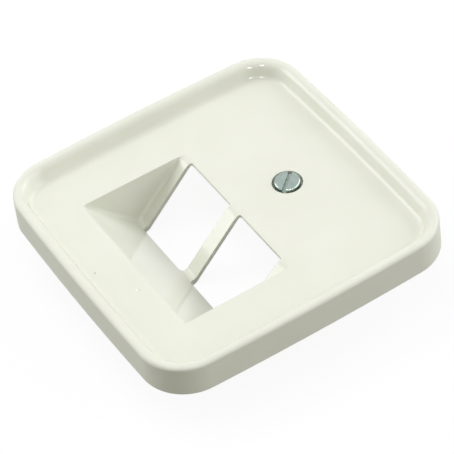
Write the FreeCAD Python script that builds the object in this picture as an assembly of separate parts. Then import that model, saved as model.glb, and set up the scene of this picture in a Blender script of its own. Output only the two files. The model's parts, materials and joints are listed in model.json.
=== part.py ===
import FreeCAD, Part
import math
import os

from FreeCAD import Vector

# Data outlet cover plate with two slanted jack ports and one fixing screw.
# Millimetres. The plate lies face up: its back rim is on z = 0, +Z is the face normal
# and +Y is up on the wall. The origin is the centre of the back rim.

# Plate outline: a square with slightly bowed sides and round corners
PLATE_SIZE = 63.0
SIDE_RADIUS = 730.0
CORNER_RADIUS = 9.2

# Rim section, measured inwards from the foot of the outer wall
RIM_HEIGHT = 6.75
BACK_EDGE_CHAMFER = 0.2
OUTER_WALL_LEAN = 0.13
OUTER_TOP_ROUND = 0.8
CREST_WIDTH = 0.1
INNER_CREST_ROUND = 1.6
DISH_SLOPE_DEG = 73.0
DISH_FOOT_ROUND = 1.25

# Dished face and the skirt behind it
FACE_LEVEL = 3.52
FACE_THICKNESS = 1.9
SKIRT_WIDTH = 2.0

# Slanted recess: a ramp and a jack face at right angles, both at 45 degrees
RECESS_WIDTH = 36.6
RAMP_START_Y = -19.9
LIP_Y = 1.88
RAMP_START_ROUND = 1.5
LIP_ROUND = 3.5
RECESS_FOOT_ROUND = 1.2
RECESS_SIDE_ROUND = 0.6
RECESS_WALL = 1.2
JACK_FACE_WALL = 0.87
RECESS_BACK_ROUND = 1.6
POCKET_CEILING = 2.75
POCKET_END_Y = 4.0

# Jack ports, open straight through from front to back
PORT_WIDTH = 14.05
PORT_BAR_WIDTH = 3.1
PORT_TOP_Y = 2.58
PORT_FOOT_Y = -9.85
PORT_TOP_CORNER = 0.5
PORT_FOOT_CORNER = 1.0

# Screw hole, its boss, and the ribs behind the face
SCREW_Y = 14.05
COUNTERBORE_DIAMETER = 5.9
SCREW_HOLE_DIAMETER = 3.4
BOSS_DIAMETER = 8.6
BOSS_BOTTOM = -1.6
RIB_THICKNESS = 1.0
RIB_BOTTOM = 0.3

# Fixing screw: slotted cheese head on an M3 shank
HEAD_DIAMETER = 5.0
HEAD_HEIGHT = 2.0
HEAD_PROUD = 0.5
HEAD_EDGE_CHAMFER = 0.3
SLOT_WIDTH = 0.8
SLOT_DEPTH = 0.85
SLOT_ANGLE_DEG = 132.0
SHANK_DIAMETER = 3.0
SHANK_LENGTH = 10.0
TIP_CHAMFER = 0.5

# Values that follow from the driving dimensions
HALF_SIZE = PLATE_SIZE / 2
HALF_RECESS = RECESS_WIDTH / 2
FACE_BACK = FACE_LEVEL - FACE_THICKNESS
SCREW_SEAT = FACE_LEVEL + HEAD_PROUD - HEAD_HEIGHT
RECESS_FOOT_Y = (LIP_Y + RAMP_START_Y) / 2
RECESS_FOOT_LEVEL = FACE_LEVEL - (LIP_Y - RAMP_START_Y) / 2

# Cut-outs reach this far past the faces that they open, and joined solids this far into each other
REACH = 1.0
OVERLAP = 0.3
NEGLIGIBLE = 1e-6

X = Vector(1, 0, 0)
Z = Vector(0, 0, 1)
SQRT2 = math.sqrt(2)
TAN_EIGHTH_TURN = math.tan(math.radians(22.5))


def corner_centre():
    """Centre of the corner arc that is tangent to both bowed sides."""
    side_offset = SIDE_RADIUS - HALF_SIZE
    reach = SIDE_RADIUS - CORNER_RADIUS
    across = (math.sqrt(2 * reach ** 2 - side_offset ** 2) - side_offset) / 2
    return Vector(across, across, 0)


SIDE_CENTRE = Vector(HALF_SIZE - SIDE_RADIUS, 0, 0)
CORNER_CENTRE = corner_centre()
SIDE_HALF_ANGLE = math.degrees(math.asin(CORNER_CENTRE.y / (SIDE_RADIUS - CORNER_RADIUS)))


def in_plan(x, y):
    """Point of a plan sketch."""
    return Vector(x, y, 0)


def on_rim(inset, level):
    """Point of the rim section, drawn on the +X side."""
    return Vector(HALF_SIZE - inset, 0, level)


def lengthwise(y, level):
    """Point of a section through the recess along Y."""
    return Vector(0, y, level)


def beside_axis(radius, level):
    """Point of the screw's half section."""
    return Vector(radius, 0, level)


def arc(place, centre, radius, start, end):
    """Arc of a sketch between two angles in degrees; place sets the sketch in space."""
    points = []
    for degrees in (start, (start + end) / 2, end):
        angle = math.radians(degrees)
        points.append(place(centre[0] + radius * math.cos(angle), centre[1] + radius * math.sin(angle)))
    return Part.Arc(*points).toShape()


def ends(item):
    """First and last point of an arc, or a corner point twice."""
    if isinstance(item, Vector):
        return item, item
    return item.valueAt(item.FirstParameter), item.valueAt(item.LastParameter)


def sketch(items):
    """Face inside a closed run of arcs and corner points, with straight lines between them."""
    edges = []
    for item, following in zip(items, items[1:] + items[:1]):
        if not isinstance(item, Vector):
            edges.append(item)
        start, end = ends(item)[1], ends(following)[0]
        if start.distanceToPoint(end) > NEGLIGIBLE:
            edges.append(Part.LineSegment(start, end).toShape())
    return Part.Face(Part.Wire(edges))


def centred_extrusion(face, width):
    """A section along Y made a solid that spans a width evenly about X = 0."""
    solid = face.extrude(X * width)
    solid.translate(X * (-width / 2))
    return solid


def quarter_turns(shape):
    """A shape repeated on the four sides of the plate."""
    return [shape.rotated(Vector(), Z, 90 * quarter) for quarter in range(4)]


def dish_foot_inset():
    """Distance from the outer wall to where the dish's slope has run out into the flat face."""
    slope = math.radians(DISH_SLOPE_DEG)
    crest_end = OUTER_WALL_LEAN + OUTER_TOP_ROUND + CREST_WIDTH
    rounds = INNER_CREST_ROUND + DISH_FOOT_ROUND
    straight_fall = RIM_HEIGHT - FACE_LEVEL - rounds * (1 - math.cos(slope))
    return crest_end + rounds * math.sin(slope) + straight_fall / math.tan(slope)


def rim_section():
    """Outer wall, rounded crest, S-shaped slope of the dish, and the skirt."""
    crest_start = OUTER_WALL_LEAN + OUTER_TOP_ROUND
    crest_end = crest_start + CREST_WIDTH
    foot = dish_foot_inset()
    return sketch([
        on_rim(BACK_EDGE_CHAMFER, 0),
        on_rim(0, BACK_EDGE_CHAMFER),
        arc(on_rim, (crest_start, RIM_HEIGHT - OUTER_TOP_ROUND), OUTER_TOP_ROUND, 180, 90),
        arc(on_rim, (crest_end, RIM_HEIGHT - INNER_CREST_ROUND), INNER_CREST_ROUND, 90, 90 - DISH_SLOPE_DEG),
        arc(on_rim, (foot, FACE_LEVEL + DISH_FOOT_ROUND), DISH_FOOT_ROUND, 270 - DISH_SLOPE_DEG, 270),
        on_rim(foot, FACE_BACK),
        on_rim(SKIRT_WIDTH, FACE_BACK),
        on_rim(SKIRT_WIDTH, 0),
    ])


def rim_pieces():
    """The rim section carried round the outline: along four bowed sides and round four corners."""
    section = rim_section()
    side_start = section.rotated(SIDE_CENTRE, Z, -SIDE_HALF_ANGLE)
    corner_start = section.rotated(SIDE_CENTRE, Z, SIDE_HALF_ANGLE)
    side = side_start.revolve(SIDE_CENTRE, Z, 2 * SIDE_HALF_ANGLE)
    corner = corner_start.revolve(CORNER_CENTRE, Z, 90 - 2 * SIDE_HALF_ANGLE)
    return quarter_turns(side) + quarter_turns(corner)


def face_slab():
    """The flat face inside the rim's foot."""
    inset = dish_foot_inset()
    side = arc(in_plan, SIDE_CENTRE, SIDE_RADIUS - inset, -SIDE_HALF_ANGLE, SIDE_HALF_ANGLE)
    corner = arc(in_plan, CORNER_CENTRE, CORNER_RADIUS - inset, SIDE_HALF_ANGLE, 90 - SIDE_HALF_ANGLE)
    edges = []
    for side_edge, corner_edge in zip(quarter_turns(side), quarter_turns(corner)):
        edges += [side_edge, corner_edge]
    slab = Part.Face(Part.Wire(edges)).extrude(Z * FACE_THICKNESS)
    slab.translate(Z * FACE_BACK)
    return slab


def recess_shell():
    """Outside of the recess behind the face: ramp plate, jack plate and side walls in one block."""
    ramp_drop = RECESS_WALL * SQRT2
    jack_drop = JACK_FACE_WALL * SQRT2
    top = FACE_BACK + OVERLAP
    foot_y = RECESS_FOOT_Y + (jack_drop - ramp_drop) / 2
    foot_level = FACE_LEVEL - jack_drop - (LIP_Y - foot_y)
    section = sketch([
        lengthwise(RAMP_START_Y + FACE_LEVEL - ramp_drop - top, top),
        arc(lengthwise, (foot_y, foot_level + RECESS_BACK_ROUND * SQRT2), RECESS_BACK_ROUND, 225, 315),
        lengthwise(LIP_Y - FACE_LEVEL + jack_drop + top, top),
    ])
    return centred_extrusion(section, RECESS_WIDTH + 2 * RECESS_WALL)


def recess_space():
    """Open space of the recess, with the rounds of its ramp start, foot, lip and side walls."""
    ramp_round_y = RAMP_START_Y - RAMP_START_ROUND * TAN_EIGHTH_TURN
    lip_round_y = LIP_Y + LIP_ROUND * TAN_EIGHTH_TURN
    foot_round_level = RECESS_FOOT_LEVEL + RECESS_FOOT_ROUND * SQRT2
    section = sketch([
        arc(lengthwise, (ramp_round_y, FACE_LEVEL - RAMP_START_ROUND), RAMP_START_ROUND, 90, 45),
        arc(lengthwise, (RECESS_FOOT_Y, foot_round_level), RECESS_FOOT_ROUND, 225, 315),
        arc(lengthwise, (lip_round_y, FACE_LEVEL - LIP_ROUND), LIP_ROUND, 135, 90),
        lengthwise(lip_round_y, FACE_LEVEL + REACH),
        lengthwise(ramp_round_y, FACE_LEVEL + REACH),
    ])
    space = centred_extrusion(section, RECESS_WIDTH)
    side_edges = []
    for edge in space.Edges:
        box = edge.BoundBox
        if box.XLength < NEGLIGIBLE and box.ZMax < FACE_LEVEL + NEGLIGIBLE:
            side_edges.append(edge)
    return space.makeFillet(RECESS_SIDE_ROUND, side_edges)


def jack_pocket():
    """Room for the jacks behind the lip: the jack plate's back runs on up to a ceiling under the face."""
    back_offset = FACE_LEVEL - LIP_Y - JACK_FACE_WALL * SQRT2
    bottom = FACE_BACK - REACH
    section = sketch([
        lengthwise(bottom - back_offset, bottom),
        lengthwise(POCKET_CEILING - back_offset, POCKET_CEILING),
        lengthwise(POCKET_END_Y, POCKET_CEILING),
        lengthwise(POCKET_END_Y, bottom),
    ])
    return centred_extrusion(section, RECESS_WIDTH)


def port_space(side):
    """Straight passage of one jack port; side is -1 or +1."""
    inner = PORT_BAR_WIDTH / 2
    outer = inner + PORT_WIDTH
    foot = PORT_FOOT_Y + PORT_FOOT_CORNER
    top = PORT_TOP_Y - PORT_TOP_CORNER
    plan = sketch([
        arc(in_plan, (inner + PORT_FOOT_CORNER, foot), PORT_FOOT_CORNER, 180, 270),
        arc(in_plan, (outer - PORT_FOOT_CORNER, foot), PORT_FOOT_CORNER, 270, 360),
        arc(in_plan, (outer - PORT_TOP_CORNER, top), PORT_TOP_CORNER, 0, 90),
        arc(in_plan, (inner + PORT_TOP_CORNER, top), PORT_TOP_CORNER, 90, 180),
    ])
    bottom = RECESS_FOOT_LEVEL - RECESS_WALL * SQRT2 - REACH
    space = plan.extrude(Z * (FACE_LEVEL + REACH - bottom))
    space.translate(Z * bottom)
    if side < 0:
        space = space.mirror(Vector(), X)
    return space


def cylinder(diameter, bottom, top):
    """Upright cylinder on the screw's axis."""
    return Part.makeCylinder(diameter / 2, top - bottom, Vector(0, SCREW_Y, bottom), Z)


def screw_space():
    """Clearance hole of the screw and the counterbore for its head."""
    hole = cylinder(SCREW_HOLE_DIAMETER, BOSS_BOTTOM - REACH, SCREW_SEAT + OVERLAP)
    counterbore = cylinder(COUNTERBORE_DIAMETER, SCREW_SEAT, FACE_LEVEL + REACH)
    return hole.fuse(counterbore)


def rib(start, end):
    """Straight rib behind the face, along X or Y, between two points of the plan."""
    half = RIB_THICKNESS / 2
    size = Vector(abs(end[0] - start[0]), abs(end[1] - start[1]), 0)
    if size.x < size.y:
        size.x = RIB_THICKNESS
        corner = Vector(start[0] - half, start[1], RIB_BOTTOM)
    else:
        size.y = RIB_THICKNESS
        corner = Vector(start[0], start[1] - half, RIB_BOTTOM)
    return Part.makeBox(size.x, size.y, FACE_BACK + OVERLAP - RIB_BOTTOM, corner)


def ribs():
    """Ribs in line with the recess's side walls, and a cross through the screw boss."""
    skirt = HALF_SIZE - SKIRT_WIDTH / 2
    wall = HALF_RECESS + RECESS_WALL / 2
    return [
        rib((-wall, -skirt), (-wall, skirt)),
        rib((wall, -skirt), (wall, skirt)),
        rib((-skirt, SCREW_Y), (skirt, SCREW_Y)),
        rib((0, POCKET_END_Y), (0, skirt)),
        rib((0, -skirt), (0, RAMP_START_Y)),
    ]


def cover_plate():
    """The moulding: rim, face, recess, boss and ribs in one solid, with its openings cut."""
    boss = cylinder(BOSS_DIAMETER, BOSS_BOTTOM, FACE_BACK + OVERLAP)
    body = face_slab().multiFuse(rim_pieces() + [recess_shell(), boss] + ribs())
    body = body.cut([recess_space(), jack_pocket(), port_space(-1), port_space(1), screw_space()])
    return body.removeSplitter()


def fixing_screw():
    """Cheese head with a slot, on a plain shank of the thread's outer diameter."""
    head = HEAD_DIAMETER / 2
    shank = SHANK_DIAMETER / 2
    top = SCREW_SEAT + HEAD_HEIGHT
    tip = SCREW_SEAT - SHANK_LENGTH
    half_section = sketch([
        beside_axis(0, tip),
        beside_axis(shank - TIP_CHAMFER, tip),
        beside_axis(shank, tip + TIP_CHAMFER),
        beside_axis(shank, SCREW_SEAT),
        beside_axis(head, SCREW_SEAT),
        beside_axis(head, top - HEAD_EDGE_CHAMFER),
        beside_axis(head - HEAD_EDGE_CHAMFER, top),
        beside_axis(0, top),
    ])
    screw = half_section.revolve(Vector(), Z, 360)
    slot_corner = Vector(-HEAD_DIAMETER, -SLOT_WIDTH / 2, top - SLOT_DEPTH)
    screw = screw.cut(Part.makeBox(2 * HEAD_DIAMETER, SLOT_WIDTH, SLOT_DEPTH + REACH, slot_corner))
    screw.rotate(Vector(), Z, SLOT_ANGLE_DEG)
    screw.translate(Vector(0, SCREW_Y, 0))
    return screw


os.makedirs("parts", exist_ok=True)
for name, shape in (("cover_plate", cover_plate()), ("fixing_screw", fixing_screw())):
    print(name, shape.isValid(), len(shape.Solids), "volume", round(shape.Volume, 1))
    shape.exportStep("parts/" + name + ".step")
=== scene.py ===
import json
import math

import bmesh
import bpy
from mathutils import Matrix, Vector


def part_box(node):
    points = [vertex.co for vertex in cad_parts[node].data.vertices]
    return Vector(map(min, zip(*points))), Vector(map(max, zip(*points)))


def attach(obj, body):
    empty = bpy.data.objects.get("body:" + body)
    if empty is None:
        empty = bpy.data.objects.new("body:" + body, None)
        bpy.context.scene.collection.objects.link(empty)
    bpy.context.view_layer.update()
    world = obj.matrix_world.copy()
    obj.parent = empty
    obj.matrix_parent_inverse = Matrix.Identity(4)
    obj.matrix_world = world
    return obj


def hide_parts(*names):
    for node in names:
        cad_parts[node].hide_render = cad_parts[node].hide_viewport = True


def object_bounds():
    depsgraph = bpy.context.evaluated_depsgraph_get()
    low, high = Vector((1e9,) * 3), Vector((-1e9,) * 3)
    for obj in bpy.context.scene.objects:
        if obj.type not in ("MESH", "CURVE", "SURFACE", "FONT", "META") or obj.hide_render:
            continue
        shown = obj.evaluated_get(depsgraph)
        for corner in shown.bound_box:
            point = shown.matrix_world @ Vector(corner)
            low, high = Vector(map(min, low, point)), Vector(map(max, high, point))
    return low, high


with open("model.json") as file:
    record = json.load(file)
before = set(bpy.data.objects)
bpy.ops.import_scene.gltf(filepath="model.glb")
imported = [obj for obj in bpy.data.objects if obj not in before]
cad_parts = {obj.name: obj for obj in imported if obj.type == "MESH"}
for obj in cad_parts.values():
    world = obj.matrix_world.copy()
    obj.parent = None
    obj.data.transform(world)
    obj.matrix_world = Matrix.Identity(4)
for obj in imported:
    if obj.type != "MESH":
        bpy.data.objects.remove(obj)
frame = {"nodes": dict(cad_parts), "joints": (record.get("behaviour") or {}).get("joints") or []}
cad_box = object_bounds()

MM = 0.001
WHITE = (1, 1, 1, 1)

# Camera, where the photograph was taken from, with its angles in degrees
PICTURE_SIDE = 454
FOCAL_PIXELS = 2354.1
SENSOR_WIDTH = 36.0
CAMERA_AZIMUTH = 63.42
CAMERA_ELEVATION = 46.008
CAMERA_ROLL = -8.008
CAMERA_DISTANCE = 437.14 * MM
CAMERA_TARGET = Vector((-0.168 * MM, 0.381 * MM, 0))
CLIP_START = 0.05
CLIP_END = 20

# Welding and edges of the moulding
WELD_DISTANCE = 0.0005 * MM
SHARP_ANGLE = math.radians(35)
EDGE_ROUND = 0.12 * MM
EDGE_ROUND_SAMPLES = 6

# Noise in both finishes: the range that is stretched to full contrast
CLOUD_RANGE = (0.35, 0.65)
GLOSS_RANGE = (0.3, 0.7)

# Plastic: lengths in millimetres, noise scales per millimetre
CREAM = (0.795, 0.80, 0.70, 1)
CREAM_DEEPER = (0.775, 0.78, 0.677, 1)
CREAM_CLOUD_SCALE = 0.09
CREAM_CLOUD_DETAIL = 3
PLASTIC_ROUGHNESS = (0.08, 0.13)
PLASTIC_GLOSS_SCALE = 0.6
PLASTIC_GLOSS_DETAIL = 4
OUTER_SIDE_ROUGHNESS = 0.5
OUTER_SIDE_START = 27.0
OUTER_SIDE_FACING = (0.1, 0.4)
PEEL_SCALE = 1.6
PEEL_DETAIL = 2
PEEL_STRENGTH = 0.12
PEEL_DEPTH = 0.01 * MM

# Specks on the face: places and radii in millimetres
GRIME = (0.16, 0.15, 0.11, 1)
# A grain of dust: its lit side is painted pale and its shaded side is painted darker
DUST_AND_PAINTED_LIGHT = (0.90, 0.90, 0.83, 1)
DUST_PAINTED_SHADE = (0.68, 0.68, 0.58, 1)
FACE_LEVEL = 3.52
DARK_SPECK = (-2.12, -26.50, FACE_LEVEL)
DARK_SPECK_RADIUS = 0.16
DUST_GRAIN_LIT_SIDE = (6.12, -22.50, FACE_LEVEL)
DUST_SHADED_SIDE = (6.41, -22.11, FACE_LEVEL)
DUST_RADIUS = 0.28
SPECK_CORE_SHARE = 0.5

# Plating of the screw: noise scales per millimetre, painted shade in millimetres below the head's top
ZINC = (0.36, 0.44, 0.41, 1)
ZINC_PALER = (0.41, 0.485, 0.445, 1)
ZINC_CLOUD_SCALE = 1.3
ZINC_CLOUD_DETAIL = 4
ZINC_ROUGHNESS = (0.24, 0.34)
RING_SCALE = 9.0
RING_DETAIL = 3.0
RING_STRENGTH = 0.1
RING_DEPTH = 0.004 * MM
# Painted shade: the screw gets darker deeper in the slot and down the head's side and shank
SCREW_PAINTED_SHADE = (0.22, 0.23, 0.20, 1)
SCREW_SHADE_SHARE = 0.2
SCREW_SHADE_FULL = 0.6
SCREW_SHADE_START = 0.25

# Screw, beyond what its box gives
SCREW_LOW, SCREW_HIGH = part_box("fixing_screw")
SCREW_AXIS = Vector(frame["joints"][0]["pos_m"])
HEAD_RADIUS = (SCREW_HIGH.x - SCREW_LOW.x) / 2
HEAD_HEIGHT = 2.0 * MM
HEAD_EDGE_ROUND = 0.36 * MM
HEAD_EDGE_STEP = 10
HEAD_SEAT_CHAMFER = 0.1 * MM
SLOT_WIDTH = 0.8 * MM
SLOT_DEPTH = 0.85 * MM
SLOT_ANGLE = math.radians(132)
SLOT_EDGE_ROUND = 0.05 * MM
SLOT_EDGE_SEGMENTS = 2
SLOT_EDGE_ANGLE = math.radians(60)
SLOT_CUTTER_REACH = 6.0
THREAD_RADIUS = 1.5 * MM
THREAD_PITCH = 0.5 * MM
THREAD_DEPTH = 0.3 * MM
THREAD_FLANK = (0.15, 0.88)
THREAD_RUN_OUT = (0.5, 1.5)
TIP_CHAMFER = 0.5 * MM
STEPS_PER_PITCH = 10
STEPS_AROUND = 72

# Floor and light
FLOOR_GAP = 0.1 * MM
FLOOR_REACH = 3.0
FLOOR_CORNERS = ((-1, -1), (1, -1), (1, 1), (-1, 1))
# Painted shadow in the floor as mirrors show it, under the part's right side
SHADOW_EDGE = 4.0 * MM
SHADE_START_X = -5.5 * MM
SHADED_WHITE = 0.55
FLOOR_BOUNCE = (0.3, 0.3, 0.25, 1)
FLOOR_WHITE_SHARE = 0.92
AMBIENT = 0.22
AMBIENT_TINT = (1.0, 1.0, 0.88, 1)
LAMP_TINT = (0.955, 0.965, 1.0)
LAMPS = (
    # name, azimuth and elevation of its place in degrees, distance, side, power,
    # whether it lights matt surfaces, whether gloss mirrors it
    ("left_lamp", 270, 58, 1.0, 0.4, 2.1, True, False),
    ("key_lamp", 315, 58, 1.0, 0.4, 1.8, True, False),
    ("high_right_lamp", 90, 58, 1.0, 0.4, 1.0, True, False),
    ("overhead_lamp", 0, 90, 1.0, 0.4, 1.3, True, False),
    ("low_right_lamp", 90, 25, 1.0, 0.4, 0.4, True, False),
    ("side_softbox", 315, 25, 1.0, 0.6, 3.6, True, True),
    ("back_softbox", 180, 25, 1.0, 0.6, 3.2, True, True),
    ("right_softbox", 135, 25, 1.0, 0.6, 3.0, True, True),
    ("front_catch_light", 40, 41, 0.45, 0.09, 0.6, False, True),
    ("right_catch_light", 82, 31, 0.45, 0.09, 0.6, False, True),
)


def show(piece_object):
    """Puts an object into the scene."""
    bpy.context.scene.collection.objects.link(piece_object)
    return piece_object


def direction(azimuth, elevation):
    """Unit vector from the part towards a place; the azimuth counts from -Y towards +X, in degrees."""
    azimuth, elevation = math.radians(azimuth), math.radians(elevation)
    flat = math.cos(elevation)
    return Vector((math.sin(azimuth) * flat, -math.cos(azimuth) * flat, math.sin(elevation)))


def photograph_camera():
    """The camera, at the photograph's place and with its angle of view."""
    back = direction(CAMERA_AZIMUTH, CAMERA_ELEVATION)
    right = direction(CAMERA_AZIMUTH + 90, 0)
    turn = Matrix.Rotation(math.radians(CAMERA_ROLL), 3, back)
    right, up = turn @ right, turn @ back.cross(right)
    data = bpy.data.cameras.new("photograph_camera")
    data.sensor_fit = "HORIZONTAL"
    data.sensor_width = SENSOR_WIDTH
    data.lens = FOCAL_PIXELS / PICTURE_SIDE * SENSOR_WIDTH
    data.clip_start = CLIP_START
    data.clip_end = CLIP_END
    camera = show(bpy.data.objects.new("photograph_camera", data))
    turned = Matrix((right, up, back)).transposed().to_4x4()
    camera.matrix_world = Matrix.Translation(CAMERA_TARGET + back * CAMERA_DISTANCE) @ turned
    bpy.context.scene.camera = camera


def add(tree, kind, inputs=None, **settings):
    """A node with its properties set, and its inputs linked to sockets or given values."""
    node = tree.nodes.new(kind)
    for name, value in settings.items():
        setattr(node, name, value)
    for socket, value in (inputs or {}).items():
        if isinstance(value, bpy.types.NodeSocket):
            tree.links.new(value, node.inputs[socket])
        else:
            node.inputs[socket].default_value = value
    return node


def calc(tree, operation, *values):
    """Output of a Math node."""
    return add(tree, "ShaderNodeMath", dict(enumerate(values)), operation=operation).outputs[0]


def vector_calc(tree, operation, *values):
    """Outputs of a Vector Math node, named Vector and Value."""
    return add(tree, "ShaderNodeVectorMath", dict(enumerate(values)), operation=operation).outputs


def axes(tree, vector):
    """Outputs X, Y and Z of a vector."""
    return add(tree, "ShaderNodeSeparateXYZ", {0: vector}).outputs


def remap(tree, value, low, high, to_low, to_high):
    """Output of a clamped Map Range node."""
    inputs = {"Value": value, "From Min": low, "From Max": high, "To Min": to_low, "To Max": to_high}
    return add(tree, "ShaderNodeMapRange", inputs).outputs[0]


def mix_colour(tree, factor, first, second):
    """Output of a Mix node between two colours, which are its sockets 6 and 7."""
    return add(tree, "ShaderNodeMix", {"Factor": factor, 6: first, 7: second}, data_type="RGBA").outputs[2]


def off_middle(tree, parts):
    """The larger of the distances from the planes X = 0 and Y = 0."""
    return calc(tree, "MAXIMUM", calc(tree, "ABSOLUTE", parts["X"]), calc(tree, "ABSOLUTE", parts["Y"]))


def new_material(name):
    """A material, its node tree and its Principled shader."""
    material = bpy.data.materials.new(name)
    material.use_nodes = True
    return material, material.node_tree, material.node_tree.nodes["Principled BSDF"]


def millimetres(tree):
    """Object coordinates in millimetres."""
    place = add(tree, "ShaderNodeTexCoord").outputs["Object"]
    return add(tree, "ShaderNodeMapping", {"Vector": place, "Scale": (1 / MM, 1 / MM, 1 / MM)}).outputs[0]


def noise(tree, place, scale, detail):
    """Factor of a Noise texture, its scale per millimetre."""
    inputs = {"Vector": place, "Scale": scale, "Detail": detail}
    return add(tree, "ShaderNodeTexNoise", inputs).outputs["Fac"]


def speck(tree, place, centre, radius):
    """1 on a speck, 0 around it."""
    distance = vector_calc(tree, "DISTANCE", place, centre)["Value"]
    return remap(tree, distance, radius * SPECK_CORE_SHARE, radius, 1, 0)


def outer_side(tree, place):
    """1 on the rim's outer wall and top edge, which face away from the plate's middle, 0 elsewhere."""
    in_plan = vector_calc(tree, "MULTIPLY", place, (1, 1, 0))["Vector"]
    outwards = vector_calc(tree, "NORMALIZE", in_plan)["Vector"]
    normal = add(tree, "ShaderNodeTexCoord").outputs["Normal"]
    facing = vector_calc(tree, "DOT_PRODUCT", normal, outwards)["Value"]
    at_rim = calc(tree, "GREATER_THAN", off_middle(tree, axes(tree, in_plan)), OUTER_SIDE_START)
    return calc(tree, "MULTIPLY", remap(tree, facing, *OUTER_SIDE_FACING, 0, 1), at_rim)


def cream_plastic():
    """Cream moulding in faint clouds, with a trace of orange peel, a speck, and a dust grain with painted lit
    and shaded sides.

    It is glossy, but for the outer side of its rim.
    """
    material, tree, shader = new_material("cover_plastic")
    place = millimetres(tree)
    clouds = remap(tree, noise(tree, place, CREAM_CLOUD_SCALE, CREAM_CLOUD_DETAIL), *CLOUD_RANGE, 0, 1)
    tone = mix_colour(tree, clouds, CREAM, CREAM_DEEPER)
    tone = mix_colour(tree, speck(tree, place, DARK_SPECK, DARK_SPECK_RADIUS), tone, GRIME)
    # Dust grain: painted light on its lit side, painted shade on its far side
    tone = mix_colour(tree, speck(tree, place, DUST_GRAIN_LIT_SIDE, DUST_RADIUS), tone, DUST_AND_PAINTED_LIGHT)
    tone = mix_colour(tree, speck(tree, place, DUST_SHADED_SIDE, DUST_RADIUS), tone, DUST_PAINTED_SHADE)
    tree.links.new(tone, shader.inputs["Base Color"])
    worn = noise(tree, place, PLASTIC_GLOSS_SCALE, PLASTIC_GLOSS_DETAIL)
    gloss = remap(tree, worn, *GLOSS_RANGE, *PLASTIC_ROUGHNESS)
    matt = {"Factor": outer_side(tree, place), "A": gloss, "B": OUTER_SIDE_ROUGHNESS}
    tree.links.new(add(tree, "ShaderNodeMix", matt).outputs[0], shader.inputs["Roughness"])
    peel = {
        "Height": noise(tree, place, PEEL_SCALE, PEEL_DETAIL),
        "Strength": PEEL_STRENGTH,
        "Distance": PEEL_DEPTH,
        "Normal": add(tree, "ShaderNodeBevel", {"Radius": EDGE_ROUND}, samples=EDGE_ROUND_SAMPLES).outputs[0],
    }
    tree.links.new(add(tree, "ShaderNodeBump", peel).outputs[0], shader.inputs["Normal"])
    return material


def zinc_steel():
    """Zinc plated steel: turned rings on the head, clouded plating, and painted shade in the slot and below.
    """
    material, tree, shader = new_material("screw_steel")
    place = millimetres(tree)
    parts = axes(tree, vector_calc(tree, "SUBTRACT", place, SCREW_AXIS / MM)["Vector"])
    squares = [calc(tree, "POWER", parts[name], 2.0) for name in ("X", "Y")]
    from_axis = calc(tree, "SQRT", calc(tree, "ADD", *squares))
    clouds = remap(tree, noise(tree, place, ZINC_CLOUD_SCALE, ZINC_CLOUD_DETAIL), *CLOUD_RANGE, 0, 1)
    tone = mix_colour(tree, clouds, ZINC, ZINC_PALER)
    top = SCREW_HIGH.z / MM
    # Painted shade, growing deeper below the head's top: in the slot, on the head's side and on the shank
    screw_shade_mask = remap(tree, parts["Z"], top - SCREW_SHADE_FULL, top - SCREW_SHADE_START, 1, 0)
    tone = mix_colour(tree, calc(tree, "MULTIPLY", screw_shade_mask, SCREW_SHADE_SHARE), tone, SCREW_PAINTED_SHADE)
    tree.links.new(tone, shader.inputs["Base Color"])
    shader.inputs["Metallic"].default_value = 1
    tree.links.new(remap(tree, clouds, 0, 1, *ZINC_ROUGHNESS), shader.inputs["Roughness"])
    rings = {"W": from_axis, "Scale": RING_SCALE, "Detail": RING_DETAIL}
    turned = {
        "Height": add(tree, "ShaderNodeTexNoise", rings, noise_dimensions="1D").outputs["Fac"],
        "Strength": RING_STRENGTH,
        "Distance": RING_DEPTH,
    }
    tree.links.new(add(tree, "ShaderNodeBump", turned).outputs[0], shader.inputs["Normal"])
    return material


def plain_mesh(draft, name):
    """The evaluated mesh of a draft as a new object at the origin; the draft goes."""
    depsgraph = bpy.context.evaluated_depsgraph_get()
    mesh = bpy.data.meshes.new_from_object(draft.evaluated_get(depsgraph))
    mesh.name = name
    bpy.data.objects.remove(draft)
    return show(bpy.data.objects.new(name, mesh))


def weigh_normals(draft):
    """Smooth shading that leans on the large faces and keeps the sharp edges."""
    weighted = draft.modifiers.new("normals", "WEIGHTED_NORMAL")
    weighted.keep_sharp = True


def moulded_plate(material):
    """The cover's moulding: the CAD form, welded and smooth between its sharp edges."""
    mesh = frame["nodes"]["cover_plate"].data.copy()
    bm = bmesh.new()
    bm.from_mesh(mesh)
    bmesh.ops.remove_doubles(bm, verts=bm.verts, dist=WELD_DISTANCE)
    for face in bm.faces:
        face.smooth = True
    for edge in bm.edges:
        edge.smooth = edge.calc_face_angle(0) < SHARP_ANGLE
    bm.to_mesh(mesh)
    bm.free()
    mesh.materials.clear()
    mesh.materials.append(material)
    draft = show(bpy.data.objects.new("draft_plate", mesh))
    weigh_normals(draft)
    return plain_mesh(draft, "moulded_plate")


def screw_half_section():
    """Radius and level along the screw's blank, from the tip's middle to the head's middle."""
    tip, top = SCREW_LOW.z, SCREW_HIGH.z
    seat = top - HEAD_HEIGHT
    points = [(0, tip)]
    steps = round((seat - tip) / THREAD_PITCH) * STEPS_PER_PITCH
    for step in range(steps + 1):
        height = (seat - tip) * step / steps
        points.append((min(THREAD_RADIUS, THREAD_RADIUS - TIP_CHAMFER + height), tip + height))
    points.append((HEAD_RADIUS - HEAD_SEAT_CHAMFER, seat))
    points.append((HEAD_RADIUS, seat + HEAD_SEAT_CHAMFER))
    for degrees in range(0, 91, HEAD_EDGE_STEP):
        angle = math.radians(degrees)
        inwards = HEAD_EDGE_ROUND * (1 - math.cos(angle))
        down = HEAD_EDGE_ROUND * (1 - math.sin(angle))
        points.append((HEAD_RADIUS - inwards, top - down))
    points.append((HEAD_RADIUS / 2, top))
    points.append((0, top))
    return points


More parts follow.
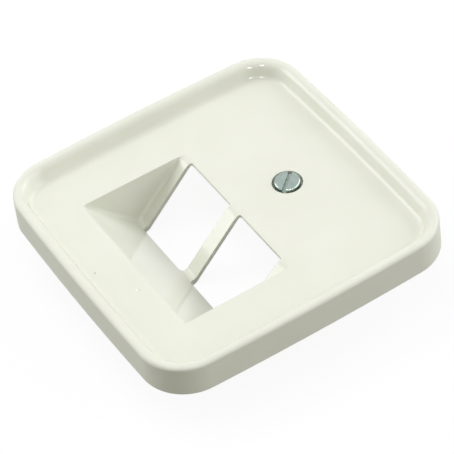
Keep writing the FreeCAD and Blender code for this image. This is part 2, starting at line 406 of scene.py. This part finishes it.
def screw_tree(material):
    """Geometry Nodes: a half section turned about Z, a thread cut into its shank, a slot into its head."""
    tree = bpy.data.node_groups.new("turned_screw", "GeometryNodeTree")
    sockets = tree.interface
    sockets.new_socket("Section", in_out="INPUT", socket_type="NodeSocketGeometry")
    for name in ("Thread radius", "Pitch", "Thread depth", "Seat level", "Top level"):
        sockets.new_socket(name, in_out="INPUT", socket_type="NodeSocketFloat")
    for name in ("Slot width", "Slot depth", "Slot angle"):
        sockets.new_socket(name, in_out="INPUT", socket_type="NodeSocketFloat")
    sockets.new_socket("Steps around", in_out="INPUT", socket_type="NodeSocketInt")
    sockets.new_socket("Axis", in_out="INPUT", socket_type="NodeSocketVector")
    sockets.new_socket("Screw", in_out="OUTPUT", socket_type="NodeSocketGeometry")
    given = tree.nodes.new("NodeGroupInput").outputs

    # A sheet with one row for each point of the section and one column for each step of the turn
    rows = add(tree, "GeometryNodeAttributeDomainSize", {0: given["Section"]}).outputs["Point Count"]
    columns = calc(tree, "ADD", given["Steps around"], 1.0)
    sheet = add(tree, "GeometryNodeMeshGrid", {"Vertices X": columns, "Vertices Y": rows}).outputs["Mesh"]
    index = add(tree, "GeometryNodeInputIndex").outputs[0]
    row = calc(tree, "MODULO", index, rows)
    column = calc(tree, "FLOOR", calc(tree, "DIVIDE", index, rows))
    turn = calc(tree, "DIVIDE", column, given["Steps around"])
    place = add(tree, "GeometryNodeInputPosition").outputs[0]
    sample = {0: given["Section"], "Value": place, "Index": row}
    section = axes(tree, add(tree, "GeometryNodeSampleIndex", sample, data_type="FLOAT_VECTOR").outputs[0])
    blank, level = section["X"], section["Z"]

    # The thread: a ridge that climbs one pitch for each turn and fades out under the head
    phase = calc(tree, "FRACT", calc(tree, "SUBTRACT", calc(tree, "DIVIDE", level, given["Pitch"]), turn))
    ridge = calc(tree, "ABSOLUTE", calc(tree, "SUBTRACT", calc(tree, "MULTIPLY", phase, 2.0), 1.0))
    flank = remap(tree, ridge, *THREAD_FLANK, 0, 1)
    below_head = calc(tree, "SUBTRACT", given["Seat level"], level)
    fade = remap(tree, calc(tree, "DIVIDE", below_head, given["Pitch"]), *THREAD_RUN_OUT, 1, 0)
    filled = calc(tree, "MAXIMUM", flank, fade)
    root = calc(tree, "SUBTRACT", given["Thread radius"], given["Thread depth"])
    cut = calc(tree, "MINIMUM", blank, calc(tree, "MULTIPLY_ADD", filled, given["Thread depth"], root))
    on_shank = calc(tree, "GREATER_THAN", below_head, 0.0)
    radius = add(tree, "ShaderNodeMix", {"Factor": on_shank, "A": blank, "B": cut}).outputs[0]

    # The sheet is wrapped round the axis, and its seam and poles are closed
    angle = calc(tree, "MULTIPLY", turn, math.tau)
    wrapped = add(tree, "ShaderNodeCombineXYZ", {
        "X": calc(tree, "MULTIPLY", radius, calc(tree, "COSINE", angle)),
        "Y": calc(tree, "MULTIPLY", radius, calc(tree, "SINE", angle)),
        "Z": level,
    }).outputs[0]
    turned = add(tree, "GeometryNodeSetPosition", {"Geometry": sheet, "Position": wrapped}).outputs[0]
    weld = {"Geometry": turned, "Distance": WELD_DISTANCE}
    closed = add(tree, "GeometryNodeMergeByDistance", weld).outputs[0]

    # The slot, cut across the head by a bar whose middle is level with the top
    across = calc(tree, "MULTIPLY", given["Thread radius"], SLOT_CUTTER_REACH)
    deep = calc(tree, "MULTIPLY", given["Slot depth"], 2.0)
    size = add(tree, "ShaderNodeCombineXYZ", {"X": across, "Y": given["Slot width"], "Z": deep}).outputs[0]
    bar = add(tree, "GeometryNodeMeshCube", {"Size": size}).outputs["Mesh"]
    lift = add(tree, "ShaderNodeCombineXYZ", {"Z": given["Top level"]}).outputs[0]
    spin = add(tree, "ShaderNodeCombineXYZ", {"Z": given["Slot angle"]}).outputs[0]
    set_bar = {"Geometry": bar, "Translation": lift, "Rotation": spin}
    cutter = add(tree, "GeometryNodeTransform", set_bar).outputs[0]
    pair = {"Mesh 1": closed, "Mesh 2": cutter}
    slotted = add(tree, "GeometryNodeMeshBoolean", pair, operation="DIFFERENCE").outputs[0]

    seat = {"Geometry": slotted, "Translation": given["Axis"]}
    seated = add(tree, "GeometryNodeTransform", seat).outputs[0]
    real = add(tree, "GeometryNodeRealizeInstances", {"Geometry": seated}).outputs[0]
    smooth = add(tree, "GeometryNodeSetShadeSmooth", {"Geometry": real}).outputs[0]
    finished = add(tree, "GeometryNodeSetMaterial", {"Geometry": smooth, "Material": material}).outputs[0]
    add(tree, "NodeGroupOutput", {"Screw": finished})
    return tree


def threaded_screw(material):
    """The fixing screw, turned from its half section."""
    mesh = bpy.data.meshes.new("screw_section")
    points = screw_half_section()
    edges = [(start, start + 1) for start in range(len(points) - 1)]
    mesh.from_pydata([(radius, 0, level) for radius, level in points], edges, [])
    draft = show(bpy.data.objects.new("draft_screw", mesh))
    turning = draft.modifiers.new("turning", "NODES")
    turning.node_group = screw_tree(material)
    sizes = {
        "Thread radius": THREAD_RADIUS,
        "Pitch": THREAD_PITCH,
        "Thread depth": THREAD_DEPTH,
        "Seat level": SCREW_HIGH.z - HEAD_HEIGHT,
        "Top level": SCREW_HIGH.z,
        "Slot width": SLOT_WIDTH,
        "Slot depth": SLOT_DEPTH,
        "Slot angle": SLOT_ANGLE,
        "Steps around": STEPS_AROUND,
        "Axis": (SCREW_AXIS.x, SCREW_AXIS.y, 0),
    }
    for item in turning.node_group.interface.items_tree:
        if item.name in sizes:
            turning[item.identifier] = sizes[item.name]
    bevel = draft.modifiers.new("slot_edges", "BEVEL")
    bevel.limit_method = "ANGLE"
    bevel.angle_limit = SLOT_EDGE_ANGLE
    bevel.width = SLOT_EDGE_ROUND
    bevel.segments = SLOT_EDGE_SEGMENTS
    weigh_normals(draft)
    return plain_mesh(draft, "threaded_screw")


def seen_directly(tree, mirrored=1.0):
    """1 for the rays that look at a surface: from the camera, through glass or by a mirror.

    A mirror counts by the share that is given.
    """
    path = add(tree, "ShaderNodeLightPath").outputs
    glossy = calc(tree, "MULTIPLY", path["Is Glossy Ray"], mirrored)
    seen = calc(tree, "MAXIMUM", path["Is Camera Ray"], glossy)
    return calc(tree, "MAXIMUM", seen, path["Is Transmission Ray"])


def mirrored_white(tree):
    """How white a mirror shows the floor: a painted shadow under the part, on the side that the light doesn't
    reach.
    """
    parts = axes(tree, add(tree, "ShaderNodeTexCoord").outputs["Object"])
    plate_side = cad_box[1].x
    open_floor = remap(tree, off_middle(tree, parts), plate_side - SHADOW_EDGE, plate_side, 0, 1)
    light_side = remap(tree, parts["X"], SHADE_START_X, SHADE_START_X + SHADOW_EDGE, 1, SHADED_WHITE)
    return calc(tree, "MAXIMUM", open_floor, light_side)


def floor():
    """A pale floor under the part: white to look at, with the part's shadow, and clear from below."""
    level = cad_box[0].z - FLOOR_GAP
    corners = [(x * FLOOR_REACH, y * FLOOR_REACH, level) for x, y in FLOOR_CORNERS]
    mesh = bpy.data.meshes.new("floor")
    mesh.from_pydata(corners, [], [range(len(corners))])
    material = bpy.data.materials.new("floor_white")
    material.use_nodes = True
    tree = material.node_tree
    tree.nodes.clear()
    matt = add(tree, "ShaderNodeBsdfDiffuse", {"Color": FLOOR_BOUNCE}).outputs[0]
    pale = add(tree, "ShaderNodeBsdfDiffuse", {"Color": WHITE}).outputs[0]
    white = add(tree, "ShaderNodeEmission", {"Color": WHITE, "Strength": 1.0}).outputs[0]
    whitened = add(tree, "ShaderNodeMixShader", {0: FLOOR_WHITE_SHARE, 1: pale, 2: white}).outputs[0]
    seen = seen_directly(tree, mirrored_white(tree))
    looked_at = add(tree, "ShaderNodeMixShader", {0: seen, 1: matt, 2: whitened}).outputs[0]
    clear = add(tree, "ShaderNodeBsdfTransparent").outputs[0]
    below = add(tree, "ShaderNodeNewGeometry").outputs["Backfacing"]
    one_sided = add(tree, "ShaderNodeMixShader", {0: below, 1: looked_at, 2: clear}).outputs[0]
    add(tree, "ShaderNodeOutputMaterial", {"Surface": one_sided})
    mesh.materials.append(material)
    show(bpy.data.objects.new("floor", mesh))


def studio_world():
    """Soft light from all round; white to look at."""
    world = bpy.data.worlds.new("studio")
    world.use_nodes = True
    tree = world.node_tree
    tree.nodes.clear()
    seen = seen_directly(tree)
    strength = remap(tree, seen, 0, 1, AMBIENT, 1)
    tint = mix_colour(tree, seen, AMBIENT_TINT, WHITE)
    light = add(tree, "ShaderNodeBackground", {"Color": tint, "Strength": strength}).outputs[0]
    add(tree, "ShaderNodeOutputWorld", {"Surface": light})
    bpy.context.scene.world = world


def soft_lamp(name, azimuth, elevation, distance, side, power, lights, mirrored):
    """A square soft box that faces the part."""
    towards = direction(azimuth, elevation)
    data = bpy.data.lights.new(name, "AREA")
    data.size = side
    data.energy = power
    data.color = LAMP_TINT
    lamp = show(bpy.data.objects.new(name, data))
    lamp.location = towards * distance
    lamp.rotation_euler = towards.to_track_quat("Z", "Y").to_euler()
    lamp.visible_diffuse = lights
    lamp.visible_glossy = mirrored


bpy.context.scene.view_settings.view_transform = "Standard"
photograph_camera()
plate = moulded_plate(cream_plastic())
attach(plate, "plate")
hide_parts("cover_plate")
screw = threaded_screw(zinc_steel())
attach(screw, "screw")
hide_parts("fixing_screw")
floor()
studio_world()
for lamp in LAMPS:
    soft_lamp(*lamp)
